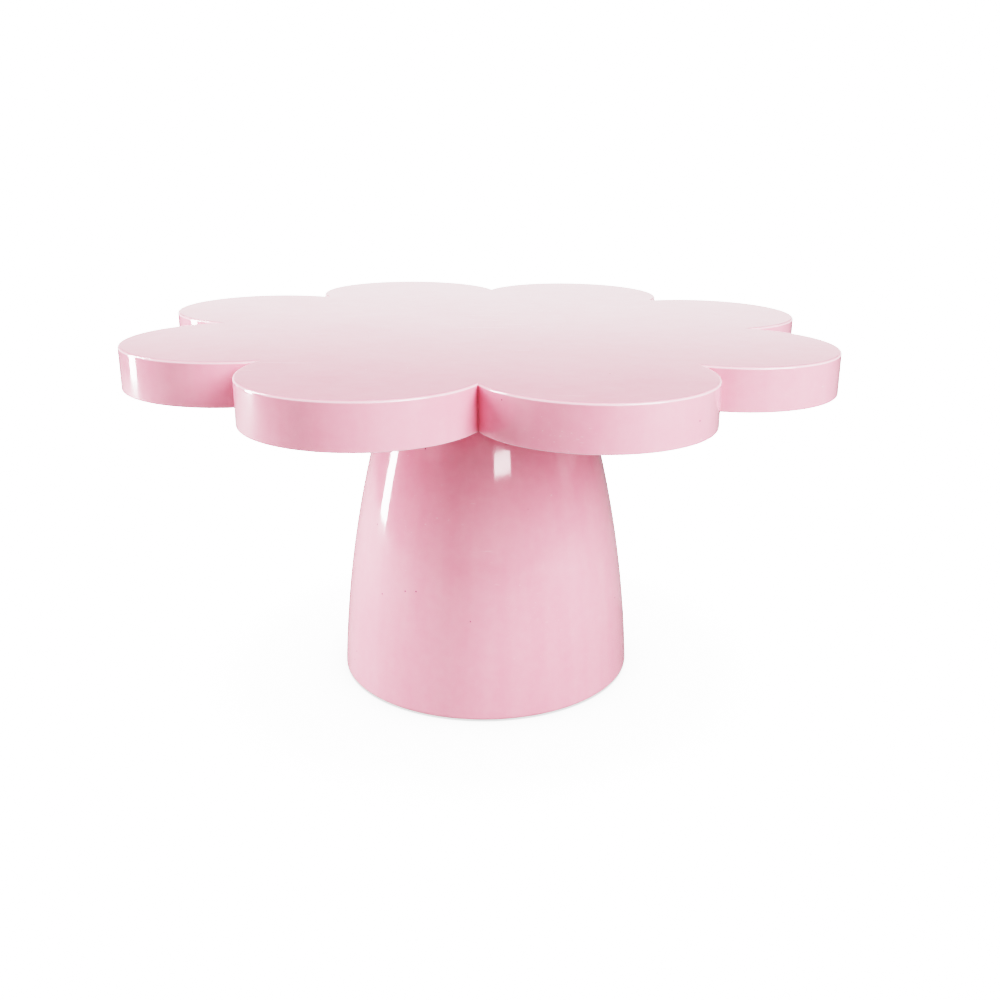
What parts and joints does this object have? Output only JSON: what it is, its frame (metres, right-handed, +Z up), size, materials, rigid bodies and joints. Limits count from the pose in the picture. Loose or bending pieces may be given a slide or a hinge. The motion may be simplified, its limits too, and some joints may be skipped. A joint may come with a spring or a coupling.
{
  "type": "cake turntable",
  "caption": "Petal-shaped cake turntable: a thick flower-outline plate that turns freely by hand on a flared round pedestal with a weighted foot.",
  "frame": {"origin": "middle of the plane that the foot pads stand on, on the spin axis", "axes": "+Z up along the spin axis; at rest a notch between two petals faces -Y"},
  "size_m": [0.2838, 0.2838, 0.156],
  "materials": {
    "plate": "glossy moulded pink",
    "pedestal": "glossy moulded pink",
    "cover": "fine satin moulded pink",
    "housing": "turned",
    "race": "ground and polished",
    "ball": "polished",
    "cage": "machined",
    "steel": "turned",
    "zinc": "zinc plated",
    "weight": "plain cut plate",
    "pad": "translucent grey, matt"
  },
  "bodies": {
    "pedestal": {"pedestal_shell": "pedestal", "base_cover": "cover", "base_screws": "zinc", "foot_pads": "pad", "ballast_disc": "weight", "ballast_screws": "zinc", "bearing_housing": "housing", "housing_screws": "zinc", "upper_outer_race": "race", "upper_shields": "zinc", "lower_outer_race": "race", "lower_shields": "zinc"},
    "turntable": {"top_plate": "plate", "underside_cover": "cover", "cover_screws": "zinc", "plate_hub": "housing", "hub_screws": "zinc", "spindle": "steel", "spindle_washer": "zinc", "spindle_nut": "zinc", "bearing_spacer": "steel", "upper_inner_race": "race", "lower_inner_race": "race"},
    "upper_ball_set": {"upper_cage": "cage", "upper_balls": "ball"},
    "lower_ball_set": {"lower_cage": "cage", "lower_balls": "ball"}
  },
  "joints": [
    {"name": "plate_spin", "type": "hinge", "parent": "pedestal", "child": "turntable", "pos_m": [0, 0, 0.125], "axis": [0, 0, 1], "continuous": true},
    {"name": "upper_cage_spin", "type": "hinge", "parent": "pedestal", "child": "upper_ball_set", "pos_m": [0, 0, 0.125], "axis": [0, 0, 1], "continuous": true},
    {"name": "lower_cage_spin", "type": "hinge", "parent": "pedestal", "child": "lower_ball_set", "pos_m": [0, 0, 0.097], "axis": [0, 0, 1], "continuous": true}
  ],
  "couplings": [
    {"joint": "upper_cage_spin", "follows": "plate_spin", "ratio": 0.38095},
    {"joint": "lower_cage_spin", "follows": "plate_spin", "ratio": 0.38095}
  ]
}
